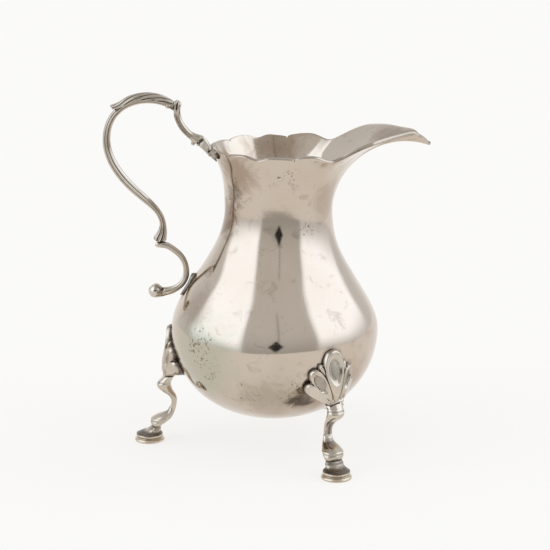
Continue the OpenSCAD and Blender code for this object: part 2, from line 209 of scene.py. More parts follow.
def stack_mesh(rings, first, last):
    """Points and faces of a closed solid through rings, facing outward."""
    rings = np.asarray(rings, float)
    rows, cols = rings.shape[:2]
    first = rings[0].mean(0) if first is None else np.array(first, float)
    last = rings[-1].mean(0) if last is None else np.array(last, float)
    verts = np.concatenate([rings.reshape(-1, 3), [first, last]])
    i, j = np.meshgrid(np.arange(rows - 1), np.arange(cols), indexing="ij")
    a, b = (i * cols + j).ravel(), (i * cols + (j + 1) % cols).ravel()
    quads = np.stack([a, b, b + cols, a + cols], 1)
    k = np.arange(cols)
    top, end = rows * cols, (rows - 1) * cols
    caps = np.concatenate([
        np.stack([np.full(cols, top), (k + 1) % cols, k], 1),
        np.stack([np.full(cols, top + 1), end + k, end + (k + 1) % cols], 1),
    ])
    volume = 0.0
    for tri in (quads[:, [0, 1, 2]], quads[:, [0, 2, 3]], caps):
        p = verts[tri]
        volume += np.einsum("ij,ij->i", p[:, 0], np.cross(p[:, 1], p[:, 2])).sum()
    if volume < 0:
        quads, caps = quads[:, ::-1], caps[:, ::-1]
    return verts, quads, caps


def joined(solids):
    """Points, side faces, end faces and darkening of (rings, crease, first, last) solids together: the
    darkening is old grime and painted shade.
    """
    verts, quads, caps, grime_and_shade, count = [], [], [], [], 0
    for rings, crease, first, last in solids:
        points, sides, ends = stack_mesh(rings, first, last)
        shade_and_dirt = np.broadcast_to(crease, np.shape(rings)[:2]).ravel()
        grime_and_shade.append(np.concatenate([shade_and_dirt, [shade_and_dirt[0], shade_and_dirt[-1]]]))
        verts.append(points)
        quads.append(sides + count)
        caps.append(ends + count)
        count += len(points)
    return [np.concatenate(part) for part in (verts, quads, caps, grime_and_shade)]


def piece(
    name, rings, slot, nodes, material, first=None, last=None, crease=0.0, angle=0.0, more=(), deep=0.03
):
    """Closed mesh through rings of points, as a piece that stands for some CAD nodes.

    rings is (rows, points of a ring, 3) in millimetres in the body's own axis. crease is the
    share of darkening at each of those points, old grime and painted shade. more holds further
    (rings, crease) solids of the same casting. deep is the depth in millimetres of a hollow that is
    fully darkened."""
    solids = [(rings, crease, first, last)] + [(bead, shade_and_dirt, None, None) for bead, shade_and_dirt in more]
    verts, quads, caps, grime_and_shade = joined(solids)
    if angle:
        verts = turned(verts, angle)
    mesh = bpy.data.meshes.new(name)
    world = (verts + [axis_x, 0, 0]) * MM
    mesh.from_pydata(world.tolist(), [], quads.tolist() + caps.tolist())
    mesh.shade_smooth()
    shares = {"hollow": np.clip(hollow_depth(verts, quads) / deep, -1, 1), "crease": np.clip(grime_and_shade, 0, 1)}
    for key, values in shares.items():
        mesh.attributes.new(key, "FLOAT", "POINT").data.foreach_set("value", values.astype(np.float32))
    mesh.materials.append(material)
    made = bpy.data.objects.new(name, mesh)
    bpy.context.scene.collection.objects.link(made)
    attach(made, "root")
    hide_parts(*nodes)


def ball(x, z, half, long):
    """Rings of a rounded bead that lies along y, in the jug's middle plane."""
    t = np.radians(np.linspace(6, 174, 22))
    a = np.arange(24) * 15
    r = half * np.sin(t[:, None]) ** 0.8
    y = np.tile(-long * np.cos(t[:, None]), (1, len(a)))
    return np.stack([x + r * cosd(a), y, z + r * sind(a)], -1)


# ---------- materials ----------


def node(tree, kind, values=None, **settings):
    """Adds a shader node. A value that is a socket is linked, any other is set on the socket."""
    made = tree.nodes.new(kind)
    for key, value in settings.items():
        setattr(made, key, value)
    for key, value in (values or {}).items():
        if isinstance(value, bpy.types.NodeSocket):
            tree.links.new(value, made.inputs[key])
        else:
            made.inputs[key].default_value = value
    return made


def math_node(tree, operation, *values):
    return node(tree, "ShaderNodeMath", dict(enumerate(values)), operation=operation).outputs[0]


def ramp(tree, value, low, high, to_low=0.0, to_high=1.0, smooth=True):
    return node(
        tree,
        "ShaderNodeMapRange",
        {"Value": value, "From Min": low, "From Max": high, "To Min": to_low, "To Max": to_high},
        interpolation_type="SMOOTHSTEP" if smooth else "LINEAR",
    ).outputs["Result"]


def blend_colour(tree, share, a, b):
    made = node(tree, "ShaderNodeMix", data_type="RGBA", blend_type="MIX")
    for socket, value in ((made.inputs[0], share), (made.inputs[6], a), (made.inputs[7], b)):
        if isinstance(value, bpy.types.NodeSocket):
            tree.links.new(value, socket)
        else:
            socket.default_value = value
    return made.outputs[2]


def linear(c):
    """Linear light of one screen value, 0 to 255."""
    return c / 255 / 12.92 if c <= 10 else ((c / 255 + 0.055) / 1.055) ** 2.4


def colour(r, g, b):
    """Colour for a node, from one written as on a screen, 0 to 255."""
    return linear(r), linear(g), linear(b), 1.0


def times(tree, *values):
    """Product of sockets and numbers."""
    out = values[0]
    for value in values[1:]:
        out = math_node(tree, "MULTIPLY", out, value)
    return out


def noise(tree, vector, scale, detail=3, roughness=0.5, distortion=0.0):
    values = {"Vector": vector, "Scale": scale, "Detail": detail}
    values.update({"Roughness": roughness, "Distortion": distortion})
    return node(tree, "ShaderNodeTexNoise", values).outputs["Fac"]


def mesh_share(tree, key):
    """A value that piece() stored at the mesh's points."""
    return node(tree, "ShaderNodeAttribute", attribute_name=key, attribute_type="GEOMETRY").outputs["Fac"]


def wear_zone(tree, zones, kind, mm, patch):
    """Strength of one kind of wear over its patches, with broken edges, or None without any."""
    total = None
    for this, centre, radius, strength in zones:
        if this != kind:
            continue
        away = node(tree, "ShaderNodeVectorMath", {0: mm, 1: centre}, operation="DISTANCE")
        share = math_node(tree, "DIVIDE", away.outputs["Value"], radius)
        share = math_node(tree, "ADD", share, ramp(tree, patch, 0.25, 0.75, -0.3, 0.3))
        here = ramp(tree, share, 0.35, 1.05, strength, 0.0)
        total = here if total is None else math_node(tree, "MAXIMUM", total, here)
    return total


def stained(tree, base, zones, mm, cloud, patch):
    """Colour with the placed stains over it."""
    for kind, tint in STAINS:
        here = wear_zone(tree, zones, kind, mm, patch)
        if here is not None:
            share = times(tree, here, ramp(tree, cloud, 0.3, 0.6, 0.6, 1.0))
            base = blend_colour(tree, share, base, tint)
    return base


def pit_share(tree, zones, mm, patch):
    """1 in the small corrosion pits, which lie in loose groups and in the placed zones."""
    field = noise(tree, mm, 1.15, 4, 0.7, 0.6)
    zone = ramp(tree, noise(tree, mm, 0.09, 3, 0.6), 0.6, 0.72, 0.0, 0.4)
    placed = wear_zone(tree, zones, "pits", mm, patch)
    if placed is not None:
        zone = math_node(tree, "MAXIMUM", zone, placed)
    threshold = ramp(tree, zone, 0.0, 1.0, 0.7, 0.54, smooth=False)
    depth = math_node(tree, "SUBTRACT", field, threshold)
    return times(tree, ramp(tree, depth, 0.0, 0.045), ramp(tree, zone, 0.02, 0.2))


def grime_and_shade_share(tree, patch, grain):
    """1 where a hollow of the mesh or a marked crease is darkened, as old grime and painted shade."""
    hollow = math_node(tree, "ADD", mesh_share(tree, "hollow"), ramp(tree, patch, 0.3, 0.7, -0.15, 0.15))
    crease = times(tree, mesh_share(tree, "crease"), ramp(tree, grain, 0.25, 0.6, 0.55, 1.0))
    return math_node(tree, "MAXIMUM", ramp(tree, hollow, 0.1, 0.8), crease)


def scratch_share(tree, mm):
    """Fine scratches in two directions."""
    lines = []
    for turn, scale in (((0.3, 0.2, 0.1), (0.05, 2.6, 2.6)), ((1.2, 0.4, 0.9), (2.4, 0.06, 2.4))):
        drawn_out = node(tree, "ShaderNodeMapping", {"Vector": mm, "Rotation": turn, "Scale": scale})
        lines.append(ramp(tree, noise(tree, drawn_out.outputs["Vector"], 1.6, 2, 0.4), 0.6, 0.68))
    return math_node(tree, "ADD", *lines)


def silver(name, clean, warm, dark, rough, tarnish, pits, recess, zones=()):
    """Worn silver. zones are patches of old wear: (kind, centre in mm, radius in mm, strength)."""
    material = bpy.data.materials.new(name)
    material.use_nodes = True
    tree = material.node_tree
    shader = tree.nodes["Principled BSDF"]
    shader.inputs["Metallic"].default_value = 1.0
    place = node(tree, "ShaderNodeTexCoord").outputs["Object"]
    mm = node(tree, "ShaderNodeMapping", {"Vector": place, "Scale": (1000, 1000, 1000)}).outputs["Vector"]
    cloud = noise(tree, mm, 0.07, 4, 0.55, 0.4)
    patch = noise(tree, mm, 0.22, 7, 0.62, 0.8)
    grain = noise(tree, mm, 2.2, 5, 0.6)
    pit = pit_share(tree, zones, mm, patch)
    grime_and_shade = grime_and_shade_share(tree, patch, grain)

    base = blend_colour(tree, ramp(tree, cloud, 0.35, 0.65), clean, warm)
    base = blend_colour(tree, ramp(tree, patch, 0.56, 0.72, 0.0, tarnish), base, dark)
    base = stained(tree, base, zones, mm, cloud, patch)
    base = blend_colour(tree, times(tree, pit, pits), base, dark)
    # painted shade with old grime: the hollows and marked creases are darkened to a dark brown
    base = blend_colour(tree, times(tree, grime_and_shade, recess), base, GRIME_AND_SHADE)
    tree.links.new(base, shader.inputs["Base Color"])

    roughness = math_node(tree, "ADD", rough, ramp(tree, grain, 0.3, 0.8, -0.02, 0.05))
    roughness = math_node(tree, "ADD", roughness, times(tree, grime_and_shade, 0.25))
    roughness = math_node(tree, "ADD", roughness, times(tree, pit, 0.2))
    tree.links.new(roughness, shader.inputs["Roughness"])

    height = math_node(tree, "ADD", times(tree, grain, 0.06), times(tree, scratch_share(tree, mm), -0.022))
    height = math_node(tree, "SUBTRACT", height, pit)
    relief = node(tree, "ShaderNodeBump", {"Height": height, "Strength": 0.12, "Distance": 0.2 * MM})
    tree.links.new(relief.outputs["Normal"], shader.inputs["Normal"])
    return material


# Dark brown of old grime, also used as painted shade in hollows, creases and where parts meet
GRIME_AND_SHADE = colour(52, 40, 32)
STAINS = (("green", colour(186, 183, 166)), ("brown", colour(128, 100, 76)), ("soot", colour(58, 44, 36)))
# Patches of old wear on the body: kind, centre, radius and strength
WEAR = [
    ("green", (-19, -21, 29), 17, 0.85), ("green", (2, -29, 22), 12, 0.35),
    ("brown", (-8, -12, 80), 8, 0.55), ("brown", (3, 18, 82), 11, 0.6), ("brown", (14, -24, 17), 12, 0.5),
    ("brown", (33, 3, 90), 7, 0.5), ("brown", (-20, -15, 44), 8, 0.3), ("brown", (2, -26, 17), 13, 0.3),
    ("brown", (-11, -5, 66), 7, 0.8), ("brown", (20, -15, 24), 9, 0.35), ("brown", (16, -8, 72), 7, 0.3),
    ("soot", (10, -24, 18), 5, 0.9), ("soot", (-10, -10, 73), 5, 0.5), ("pits", (-11, -8, 66), 5, 0.8),
    ("pits", (-18, -21, 34), 8, 1.0), ("pits", (-16, -22, 28), 8, 0.8), ("pits", (12, -13, 65), 5, 0.9),
    ("pits", (6, -17, 79), 5, 0.9), ("pits", (18, -12, 84), 6, 0.9), ("pits", (-10, -10, 74), 7, 0.9),
    ("pits", (8, -25, 21), 9, 0.8), ("pits", (-4, -26, 20), 8, 0.6), ("pits", (3, 18, 82), 8, 0.5),
]
RAISED = silver(
    "raised_silver_worn_and_shaded", clean=(0.605, 0.515, 0.435, 1), warm=(0.585, 0.49, 0.4, 1),
    dark=colour(118, 102, 86), rough=0.09, tarnish=0.3, pits=0.85, recess=0.55, zones=WEAR,
)
CAST = silver(
    "cast_silver_worn_and_shaded", clean=(0.64, 0.565, 0.48, 1), warm=(0.54, 0.465, 0.38, 1),
    dark=colour(104, 86, 70), rough=0.12, tarnish=0.5, pits=0.5, recess=0.95,
)
# The pads' silver is written paler than the legs' cast silver: painted light, for the bright rims of the
# pads
PAD_PAINTED_PALE = silver(
    "pad_silver_paler_and_shaded", clean=colour(220, 206, 188), warm=colour(196, 180, 160),
    dark=colour(92, 76, 64), rough=0.2, tarnish=0.3, pits=0.4, recess=0.95,
)


def cast_piece(name, rings, cad_node, **settings):
    piece(name, rings, "cast_silver", [cad_node], CAST, **settings)


# ---------- body ----------

# Here b is an angle from the lip in degrees, to the left of the lip where it is positive
low_curve = np.array([
    [0, belly_clear], [0.71 * belly_r, belly_clear],
    [belly_r, mix(belly_z, belly_clear, 0.47)], [belly_r, belly_z],
])
high_curve = np.array([
    [belly_r, belly_z], [belly_r, mix(belly_z, neck_z, 0.32)],
    [neck_r, mix(belly_z, neck_z, 0.57)], [neck_r, neck_z],
])
steps = np.linspace(0, 1, 400)
profile = np.concatenate([bezier(low_curve, steps), bezier(high_curve, steps[1:])])


def body_r(z):
    return np.interp(z, profile[:, 1], profile[:, 0])


def forward(z):
    """How far the body's middle lies towards the lip at a height."""
    return neck_forward * ease(clamp01((z - belly_z) / (neck_z - belly_z)) ** 2)


def lip_half(x):
    """Half-width of the lip at a reach, with its narrow beak."""
    broad = (mouth_half_w - beak_half) * np.maximum(0, 1 - (x / lip_spread) ** 5) ** 1.8
    return broad + beak_half * np.sqrt(np.maximum(0, 1 - (x / lip_reach) ** 20))


def rim_plan(b):
    """The rim seen from above."""
    front = cosd(b) > 0
    x = cosd(b) * np.where(front, lip_reach, mouth_r)
    y = np.where(front, np.where(sind(b) < 0, -1, 1) * lip_half(np.abs(x)), mouth_half_w * sind(b))
    return x, y


def edge_z(x):
    """Height of the rim before its waves are cut."""
    start = lip_spread - 5.5
    return (
        rim_z
        + lip_rise * ease((x - 12) / 22)
        - lip_droop * clamp01((x - start) / (lip_reach - start)) ** 4.5
    )


def crest(t):
    return np.maximum(0, sind(180 * clamp01(t))) ** 0.3


def dip(t, at):
    return 0.8 * bump_at(t, at, 0.14)


def wave(b):
    """Height of the rim's waves at an angle, up to 1 on a crest."""
    cusp = np.where(b < 0, cusp_near, cusp_front)
    b = np.abs(b)
    back = (b - cusp_back) / (2 * (180 - cusp_back))
    side = (cusp_back - b) / (cusp_back - cusp)
    small = (cusp - b) / (2 * (cusp - small_crest))
    fall = (small_crest - b) / (small_crest - deep_notch)
    rise = (deep_notch - b) / (deep_notch - lip_start)
    return np.select(
        [b > cusp_back, b > cusp, b > small_crest, b > deep_notch],
        [
            crest(back) - dip(back, 0.5),
            crest(side) - dip(side, 0.6),
            crest(small),
            mix(notch_level, 1, (1 + cosd(180 * fall)) / 2),
        ],
        mix(notch_level, 1, ease(rise)),
    )


def neck_turn(b):
    """Angle round the neck below a place of the rim."""
    x, y = rim_plan(b)
    side = np.where(b < 0, -1, 1)
    return np.degrees(np.arctan2(y, x - neck_forward)) + side * 5 * sind(180 * clamp01(np.abs(b) / 70))


def lipness(b):
    """1 on the lip, 0 on the rest of the mouth."""
    return 1 - ease((np.abs(b) - 22) / 45)


def flare_surface(b, t):
    """Outside of the flare, with t from 0 at the neck to 1 at the uncut rim."""
    k = lipness(b)
    plan_x, plan_y = rim_plan(b)
    top = edge_z(plan_x)
    turn = neck_turn(b)
    foot_x, foot_y = neck_forward + neck_r * cosd(turn), neck_r * sind(turn)
    part = mix(0.15, 0.45, k)
    shoulder_z = mix(top - flare_h, 2 * rim_z + 5.2 - top, k)
    control = [
        np.stack([foot_x, foot_y, np.full_like(b, neck_z)], -1),
        np.stack([foot_x, foot_y, neck_z + mix(9, 12, k)], -1),
        np.stack([mix(foot_x, plan_x, part), mix(foot_y, plan_y, part), shoulder_z], -1),
        np.stack([plan_x, plan_y, top], -1),
    ]
    return bezier(control, t)


def rim_cut(b):
    """Share of the flare that is cut away at the rim."""
    return rim_wave * (1 - wave(b)) / (3 * flare_h)


def belly_surface(b, p):
    spin = mix(b, neck_turn(b), ease((p[..., 1] - belly_z) / (neck_z - belly_z)))
    return np.stack([forward(p[..., 1]) + p[..., 0] * cosd(spin), p[..., 0] * sind(spin), p[..., 1]], -1)


def body_surface(b, s):
    """Outside of the body: s from 0 to 1 up to the belly, to 2 at the neck, to 3 at the rim."""
    low = belly_surface(b, bezier(low_curve, clamp01(s)))
    high = belly_surface(b, bezier(high_curve, clamp01(s - 1)))
    flare = flare_surface(b, clamp01(s - 2))
    s = s[..., None]
    return np.where(s < 1, low, np.where(s < 2, high, flare))


def wrapped(b):
    """The same angle between -180 and 180."""
    return (b + 180) % 360 - 180


def body_way(b, s):
    """Direction away from the body's outside."""
    db, ds = 0.3, 0.004
    along = body_surface(wrapped(b + db), s) - body_surface(wrapped(b - db), s)
    up = body_surface(b, np.minimum(s + ds, 3)) - body_surface(b, np.maximum(s - ds, 0.002))
    way = np.cross(along, up)
    return way / np.linalg.norm(way, axis=-1, keepdims=True)


# ---------- handle ----------


def bar(curves, t, half_in, half_y, swell, sides=72):
    """Rings of a bar along curves in the handle's upright plane. swell(a, t) scales the section.

    The angle a is 0 to the left of the curve's way, and 270 on the camera's side."""
    centre, way = chain(curves, t), chain_way(curves, t)
    aa, tt = np.meshgrid(np.arange(sides) * 360 / sides, t)
    grow = swell(aa, tt)
    u = half_in[:, None] * cosd(aa) * grow
    v = half_y[:, None] * sind(aa) * grow
    rings = np.stack([
        centre[:, None, 0] - u * way[:, None, 1], v, centre[:, None, 1] + u * way[:, None, 0]
    ], -1)
    return rings, aa, tt


def from_angle(a, at):
    """Distance in degrees from one angle round a section to another."""
    return np.abs(wrapped(a - at))


def from_sides(a):
    """Distance in degrees from the nearer of the two sides of a section."""
    return np.minimum(from_angle(a, 90), from_angle(a, 270))


upper_joint = np.array([-(mouth_r + upper_joint_out), rim_z + upper_joint_up])
outer_point = np.array([-(handle_reach - scroll_thick / 2), mix(lower_joint_z, handle_top, 0.68)])
seat_r = body_r(lower_seat_z)
lower_joint = np.array([-(seat_r + 7.5), lower_joint_z])
turn_point = np.array([mix(outer_point[0], lower_joint[0], 0.54), mix(outer_point[1], lower_joint_z, 0.5)])
top_z = handle_top - leaf_thick - scroll_thick / 2
main_curves = [
    [
        upper_joint + [-0.1, -0.6], [upper_joint[0] - 5.2, top_z + 2.2],
        [outer_point[0], top_z + 1], outer_point,
    ],
    [outer_point, outer_point - [0, 5.9], turn_point + [-3.6, 3.3], turn_point],
    [turn_point, turn_point + [4.7, -4.3], lower_joint + [2.7, 7], lower_joint - [0.85, 0]],
]
half_t, half_w = scroll_thick / 2, scroll_wide / 2
# Half-thickness, and half-width across the view, at places along the scroll from 0 to 1
main_half = [
    [0, 0.55 * half_t], [0.08, 0.7 * half_t], [0.25, 0.85 * half_t], [0.4, half_t], [0.7, half_t],
    [0.85, 0.75 * half_t], [0.92, 0.85 * half_t], [0.97, 1.35 * half_t], [0.99, 1.55 * half_t],
    [1, 1.35 * half_t],
]
main_half_y = [[0, 0.6 * half_w], [0.2, 0.85 * half_w], [0.5, half_w], [0.85, 0.8 * half_w], [1, half_w]]


def make_main_scroll():
    t = np.linspace(0, 1, 241)

    def flutes(a, t):
        """Lines cut along both sides of the bar, and the folds of the leaf at its foot."""
        line = bump_at(from_sides(a), 24, 10) * ease(t / 0.05)
        across = cosd(a)
        fold = np.abs(sind(180 * (2.4 * across + 0.35 + 1.4 * t))) ** 6 * np.abs(sind(a)) ** 0.5
        return line, fold * ease((t - 0.89) / 0.06)

    def swell(a, t):
        line, fold = flutes(a, t)
        return 1 + 0.05 * cosd(4 * a) - 0.18 * line - 0.26 * fold + 0.02 * sind(900 * t + a)

    rings, aa, tt = bar(main_curves, t, smooth_table(main_half, t), smooth_table(main_half_y, t), swell)
    line, fold = flutes(aa, tt)
    # painted shade with grime: darker in the side lines, in the leaf's folds, at the lower joint and at the
    # upper end
    crease = np.maximum(0.75 * line, 0.8 * fold)
    crease = np.maximum(crease, ease((lower_joint_z + 0.5 - rings[..., 2]) / 0.5))
    crease = np.maximum(crease, 0.9 * ease((0.035 - tt) / 0.03))
    rings[..., 0] += 0.25 * ease((0.03 - tt) / 0.03)
    rings[..., 0] = np.minimum(rings[..., 0], upper_joint[0] - 0.01)
    floor_z = lower_joint_z - 0.02 + 0.1 * np.maximum(0, rings[..., 0] - lower_joint[0] + 2.2)
    rings[..., 2] = np.maximum(rings[..., 2], floor_z)
    cast_piece("handle_main_bar", rings, "handle_main_scroll", crease=crease)


# Where the leaf lies along the main scroll, its half-span round the scroll, and the pitch
# and the twist of its reeds, in degrees
leaf_from, leaf_to, leaf_half_span = 0.01, 0.235, 84
reed_pitch, reed_twist = 31.0, 118


def make_leaf_cap():
    s = np.linspace(0, 1, 161)
    t = mix(leaf_from, leaf_to, s)
    centre, way = chain(main_curves, t), chain_way(main_curves, t)
    hi = smooth_table(main_half, t) * 1.05 + solder
    hy = smooth_table(main_half_y, t) * 1.05 + solder
    curl = 1.25 * np.maximum(0, (s - 0.84) / 0.16) ** 2
    height = leaf_thick * np.maximum(0.03, sind(180 * mix(0.18, 0.985, s))) ** 0.5
    over = np.linspace(-leaf_half_span, leaf_half_span, 85)
    rings, crease = [], []
    for a, upper in ((over, True), (over[::-1], False)):
        aa, ss = np.meshgrid(a, s)
        phase = (aa + reed_twist * ss**0.9 + 8) / reed_pitch
        off_groove = phase - np.round(phase)
        groove = bump_at(np.abs(off_groove) * 2, 0, 0.34)
        groove = groove * ease(ss / 0.06) * ease((leaf_half_span - 2 - np.abs(aa)) / 12)
        ridge = 0.16 * cosd(180 * off_groove) - 0.1
        lift = height[:, None] * (0.5 + 0.5 * cosd(aa)) * (1 + ridge) + 0.1 - 0.42 * groove
        lift = np.maximum(lift, 0.03) if upper else 0 * aa
        u = (hi[:, None] + lift) * cosd(aa) + curl[:, None]
        v = (hy[:, None] + 0.8 * lift) * sind(aa)
        x = centre[:, None, 0] + u * way[:, None, 1] + 0.3 * ease((0.06 - ss) / 0.06)
        z = centre[:, None, 1] - u * way[:, None, 0]
        rings.append(np.stack([np.minimum(x, upper_joint[0] - 0.02), v, z], -1))
        # painted shade with grime in the reeds' grooves, and painted shade all over the leaf's underside
        # and at its root
        shade_and_dirt = 0.95 * groove if upper else 0.8 + 0 * aa
        crease.append(np.maximum(shade_and_dirt, 0.7 * ease((0.05 - ss) / 0.05)))
    roll = ball(upper_joint[0] - 1.5, top_z - 1.25, 0.95, 1.75)
    eye = ball(upper_joint[0] - 1.5, top_z - 1.25, 0.42, 1.98)
    # the eye of the curl is darkened as painted shade
    cast_piece(
        "handle_leaf", np.concatenate(rings, 1), "handle_leaf_cap",
        crease=np.concatenate(crease, 1), more=[(roll, 0.0), (eye, 0.6)],
    )


bracket_joint = np.array([-(mouth_r + 3.1), rim_z + 1.7])
face_way = np.array([4.6, -2.0]) / math.hypot(4.6, 2.0)
upper_curves = [[
    upper_joint + [1.25, 1.7], upper_joint + [-0.3, -2.9], bracket_joint - 5 * face_way, bracket_joint
]]
upper_half = [
    [0, 0.45], [0.03, 1.0], [0.12, 1.12], [0.3, 1.0], [0.6, 1.0], [0.85, 1.1], [0.97, 1.45], [1, 1.3]
]
upper_half_y = [[0, 0.5], [0.04, 1.2], [0.12, 1.4], [0.3, 1.1], [0.6, 1.15], [0.85, 1.5], [1, 1.9]]


def make_upper_scroll():
    t = np.linspace(0, 1, 161)

    def cuts(a, t):
        """The hollow along each side of the bar, left of its bright upper edge."""
        side = np.minimum(from_angle(a, 112), from_angle(a, 248))
        return bump_at(side, 0, 34) * ease((t - 0.2) / 0.12) * ease((0.9 - t) / 0.2)

    def slot(a, t):
        """The narrow groove along each side of the bar's upper end."""
        return bump_at(from_sides(a), 0, 15) * ease((0.24 - t) / 0.08) * ease(t / 0.03)

    def swell(a, t):
        return 1 - 0.08 * cosd(4 * a) * ease((0.3 - t) / 0.1) - 0.2 * cuts(a, t) - 0.28 * slot(a, t)

    rings, aa, tt = bar(upper_curves, t, smooth_table(upper_half, t), smooth_table(upper_half_y, t), swell)
    way = chain_way(upper_curves, t)
    slant = 0.5 * smooth_table(upper_half, t)[:, None] * cosd(aa) * ease((tt - 0.8) / 0.2)
    rings[..., 0] += slant * way[:, None, 0]
    rings[..., 2] += slant * way[:, None, 1]
    rings[..., 0] = np.maximum(rings[..., 0], upper_joint[0] + 0.01)
    # painted shade with grime: darker in the side hollows and slots, at the upper joint and at the bar's
    # far end
    crease = np.maximum(0.85 * cuts(aa, tt), slot(aa, tt))
    crease = np.maximum(crease, ease((upper_joint[0] + 0.3 - rings[..., 0]) / 0.3))
    crease = np.maximum(crease, 0.9 * ease((tt - 0.975) / 0.02))
    cast_piece("handle_upper_bar", rings, "handle_upper_scroll", crease=crease)


bracket_half_angle = 26.0
bracket_face = np.array([-face_way[1], face_way[0]])
bracket_mid = bracket_joint + solder * face_way


def keel_at(k):
    """Place of the keel's front, k millimetres along the face that meets the upper scroll."""
    p = bracket_mid + k * bracket_face
    return [-p[0] - mouth_r, p[1] - rim_z]


# Sections of the bracket, out and up from the rim: at its wings, and along its keel
bracket_thin = [[0, 0.1], [0.3, 0.15], [0.5, 0], [0.55, -0.3], [0.55, -0.7], [0.5, -1.1], [0.45, -1.5]]
bracket_keel = [[0, 0.3], [1.1, 2], keel_at(1.5), keel_at(0.5), keel_at(-1.5), [2.4, -0.7], [1, -2.2]]


def make_bracket():
    s = np.linspace(-1, 1, 161)
    b = 180 - bracket_half_angle * s
    keel = bump_at(s, 0, 0.13)
    low = mix(0.9, 0.8, bump_at(s, 0, 0.3))
    out = np.stack([cosd(b), sind(b), 0 * b], -1)
    end = 1 - rim_cut(wrapped(b))

    def at(part):
        return flare_surface(wrapped(b), part * end) + solder * out

    head, foot, half_way = at(1.0 + 0 * b), at(low), at(mix(low, 1, 0.5))
    # painted shade with grime: darker at the foot on the rim, in the hollow beside the keel and between the
    # wings
    ring, crease = [foot, half_way, head], [0 * s + 0.6, 0 * s + 0.6, 0 * s + 0.4]
    rows = np.linspace(0, len(bracket_keel) - 1, 25)
    thin, thick = (
        np.stack([np.interp(rows, np.arange(len(q)), np.array(q)[:, k]) for k in (0, 1)], 1)
        for q in (bracket_thin, bracket_keel)
    )
    for (thin_out, thin_z), (thick_out, thick_z) in zip(thin, thick):
        # a wing leaves the keel at the joint and runs down and away on each side
        wing_z = mix(0.9, -1.9, clamp01(np.abs(s) / 0.85))
        wing = bump_at(thin_z, wing_z, 0.62) * ease((np.abs(s) - 0.12) / 0.15) * ease((1 - np.abs(s)) / 0.2)
        hollow = bump_at(np.abs(s), 0.24, 0.1) * ease((0.5 - thin_z) / 0.8)
        near = head + (thin_out + 0.85 * wing - 0.25 * hollow)[:, None] * out + [0, 0, thin_z]
        far = (mouth_r + thick_out) * out + [0, 0, rim_z + thick_z]
        ring.append(mix(near, far, keel[:, None]))
        crease.append(np.maximum(hollow, 0.35 * (1 - wing) * (1 - keel)))
    ring.append(foot + 0.35 * out)
    crease.append(0 * s + 0.8)
    beads = [
        (ball(bracket_joint[0] - 1.7, bracket_joint[1] - 0.85, 0.62, 0.8), 0.1),
        (ball(bracket_joint[0] - 0.3, bracket_joint[1] - 1.1, 0.5, 0.9), 0.2),
        (ball(bracket_joint[0] + 0.75, bracket_joint[1] + 0.75, 0.5, 1.5), 0.2),
    ]
    cast_piece(
        "handle_bracket", np.stack(ring, 1), "handle_rim_bracket", crease=np.stack(crease, 1), more=beads
    )


seat_x = -(seat_r + plate_thick + lower_thick / 2)
lower_start = np.array([lower_joint[0] - 1.9, lower_joint_z - 0.5 * lower_thick])
lower_end = np.array([seat_x - 9.6, lower_seat_z - 1.2])
seat_point = np.array([seat_x + 0.9, lower_seat_z + 3.4])
lower_curves = [
    [lower_start, lower_start + [5.5, -0.2], seat_point + [0.1, 4.4], seat_point],
    [seat_point, seat_point - [0.1, 4.2], lower_end + [5, -2.6], lower_end],
]
lower_half = [
    [p, h * lower_thick / 2] for p, h in (
        [0, 0.3], [0.02, 0.8], [0.06, 1], [0.4, 0.85], [0.7, 0.95], [0.84, 1.25], [0.9, 1.8],
        [0.93, 2.15], [0.96, 2.15], [0.985, 1.4], [1, 0.3],
    )
]


def off_belly(p, gap):
    """Points moved outward where they would come nearer to the body than the gap."""
    shift = forward(p[..., 2])
    x = p[..., 0] - shift
    r = np.hypot(x, p[..., 1])
    s = np.maximum(1, (body_r(p[..., 2]) + gap) / r)
    return np.stack([shift + x * s, p[..., 1] * s, p[..., 2]], -1)


def make_lower_scroll():
    t = np.linspace(0, 1, 241)
    half = table(lower_half, t)

    def nick(a, t):
        """The crease where the bud curls back on the bar."""
        return bump_at(t, 0.872, 0.016) * bump_at(from_angle(a, 205), 0, 62)

    def line(a, t):
        """The line cut along each side of the bar."""
        return bump_at(from_sides(a), 20, 9) * ease((t - 0.03) / 0.05) * ease((0.82 - t) / 0.1)

    def swell(a, t):
        return 1 - 0.42 * nick(a, t) - 0.07 * line(a, t)

    rings, aa, tt = bar(lower_curves, t, half, half, swell)
    lift = 0.35 * bump_at(tt, 0.1, 0.07)
    rings[..., 2] = np.minimum(rings[..., 2] + lift, lower_joint_z - 0.05 + 0.8 * lift)
    rings = off_belly(rings, plate_thick + 2 * solder)
    # painted shade with grime: darker in the bud's crease and the side lines, at the joint and where the
    # bar comes near the body
    crease = np.maximum(nick(aa, tt), 0.45 * line(aa, tt))
    crease = np.maximum(crease, ease((rings[..., 2] - lower_joint_z + 0.3) / 0.3) * ease((0.2 - tt) / 0.1))
    close = np.hypot(rings[..., 0], rings[..., 1]) - body_r(rings[..., 2])
    crease = np.maximum(crease, ease((2.1 - close) / 1.0) * ease((0.8 - tt) / 0.1))
    cast_piece("handle_lower_bar", rings, "handle_lower_scroll", crease=crease)


plate_half_h, plate_half_w = 3.1, 1.5
# Outline of the plate's section: shares of its thickness and of its half-width
plate_outline = (
    (0, -1), (0, -0.5), (0, 0), (0, 0.5), (0, 1), (0.4, 1), (0.75, 0.95), (0.95, 0.82), (1, 0.6),
    (1, 0.3), (1, 0), (1, -0.3), (1, -0.6), (0.95, -0.82), (0.75, -0.95), (0.4, -1),
)


